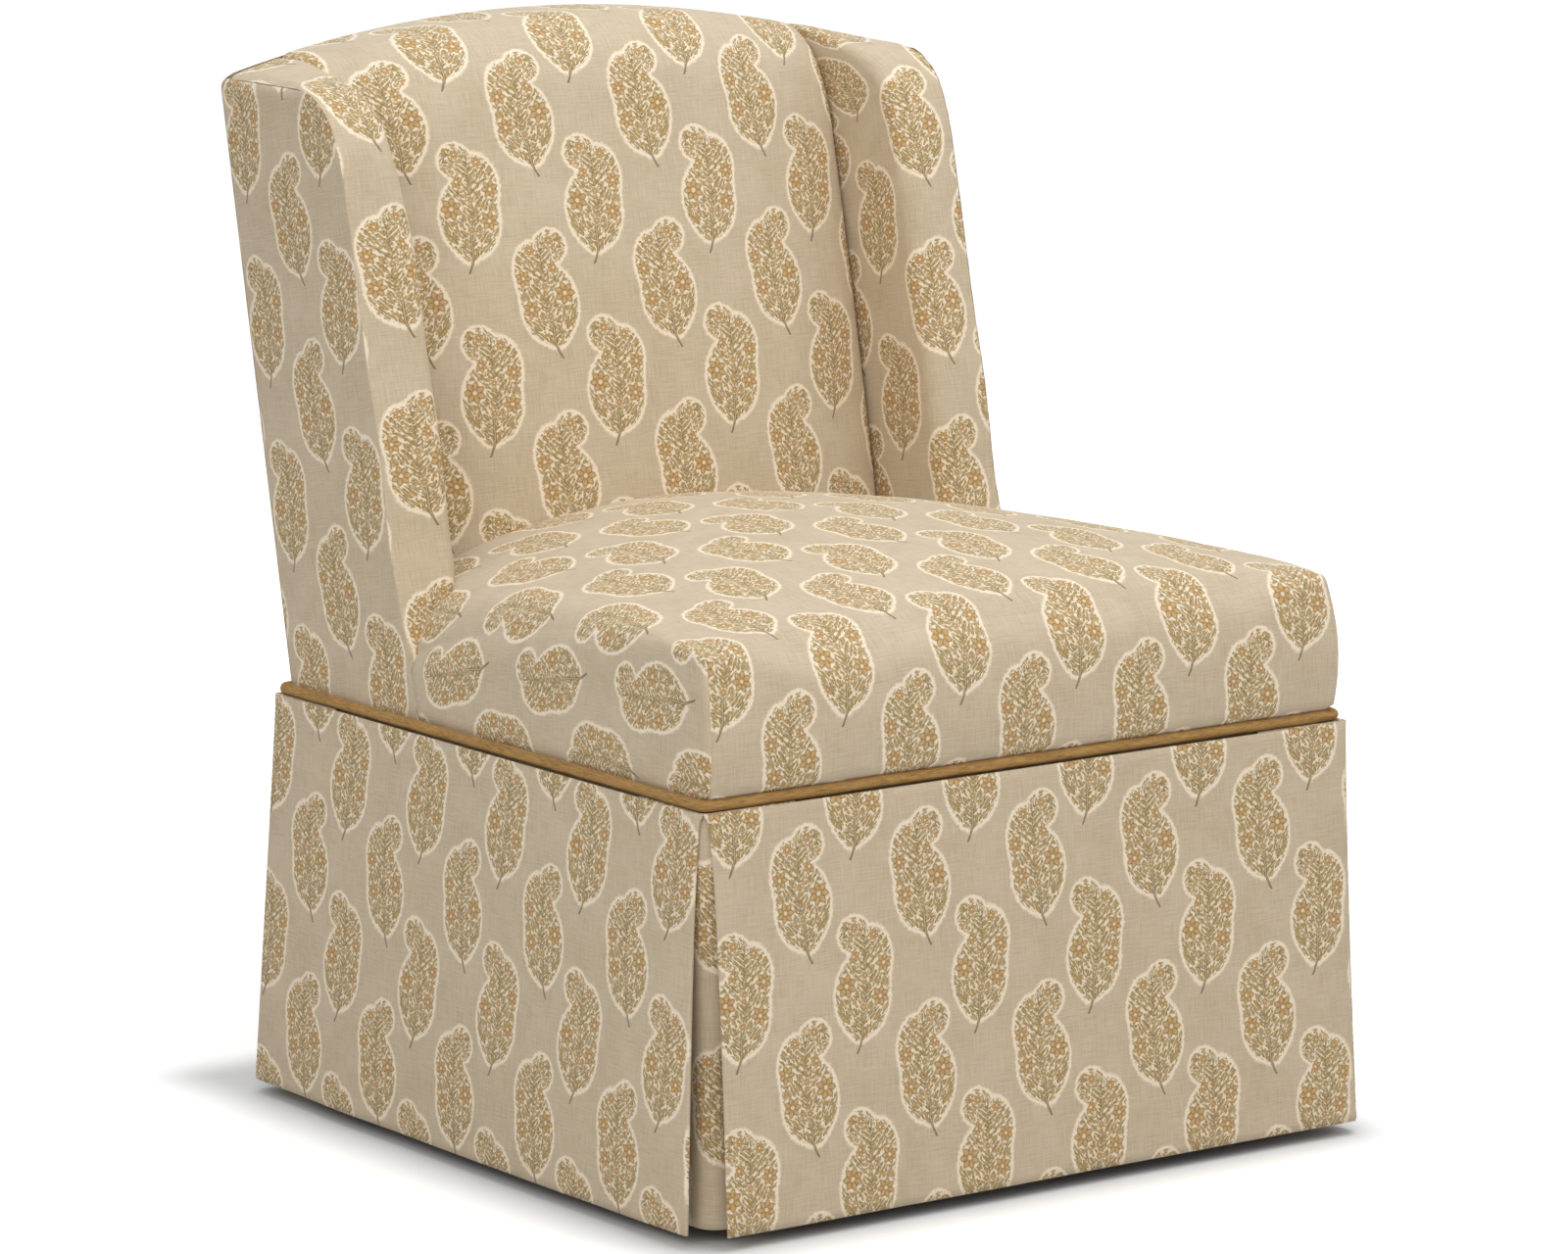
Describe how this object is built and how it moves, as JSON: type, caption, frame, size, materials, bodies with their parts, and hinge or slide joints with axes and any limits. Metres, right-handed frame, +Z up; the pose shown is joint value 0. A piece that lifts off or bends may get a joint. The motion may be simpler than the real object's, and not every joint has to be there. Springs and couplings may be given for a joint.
{
  "type": "slipper chair",
  "caption": "Skirted slipper chair with a tight crowned seat, a raked back between shallow wings and a welted skirt open at its corners.",
  "frame": {"origin": "on the floor, at the middle of the chair's outline seen from above", "axes": "+X to the right of someone facing the chair's front, +Y towards its back, +Z up"},
  "size_m": [0.6818, 0.7467, 0.917],
  "materials": {
    "printed_linen": "matt woven cloth with a block print",
    "welt_cloth": "matt cotton velvet",
    "foam": "open-cell foam",
    "wadding": "cotton felt",
    "lining": "thin black cambric",
    "webbing": "jute webbing",
    "board": "grey board",
    "frame_wood": "planed beech, unfinished",
    "leg_wood": "stained beech",
    "steel": "zinc plated",
    "glide_plastic": "moulded"
  },
  "bodies": {
    "root": {"seat_cover": "printed_linen", "inside_back_cover": "printed_linen", "outside_back_cover": "printed_linen", "left_wing_cover": "printed_linen", "right_wing_cover": "printed_linen", "left_outside_wing_cover": "printed_linen", "right_outside_wing_cover": "printed_linen", "skirt_front_panel": "printed_linen", "skirt_rear_panel": "printed_linen", "skirt_left_panel": "printed_linen", "skirt_right_panel": "printed_linen", "skirt_front_left_pleat": "printed_linen", "skirt_front_right_pleat": "printed_linen", "skirt_rear_left_pleat": "printed_linen", "skirt_rear_right_pleat": "printed_linen", "welt_cord": "welt_cloth", "seat_foam": "foam", "back_foam": "foam", "left_wing_foam": "foam", "right_wing_foam": "foam", "outside_back_wadding": "wadding", "seat_deck_pad": "wadding", "dust_cover": "lining", "seat_long_straps": "webbing", "seat_cross_straps": "webbing", "back_straps": "webbing", "skirt_tack_strips": "board", "front_seat_rail": "frame_wood", "rear_seat_rail": "frame_wood", "left_side_seat_rail": "frame_wood", "right_side_seat_rail": "frame_wood", "left_back_post": "frame_wood", "right_back_post": "frame_wood", "top_rail": "frame_wood", "back_stay_rail": "frame_wood", "left_wing_upright": "frame_wood", "right_wing_upright": "frame_wood", "left_wing_head_board": "frame_wood", "right_wing_head_board": "frame_wood", "frame_tenons": "frame_wood", "corner_blocks": "frame_wood", "left_front_leg": "leg_wood", "right_front_leg": "leg_wood", "leg_hanger_bolts": "steel", "leg_bolt_nuts": "steel", "floor_glides": "glide_plastic"}
  },
  "joints": []
}
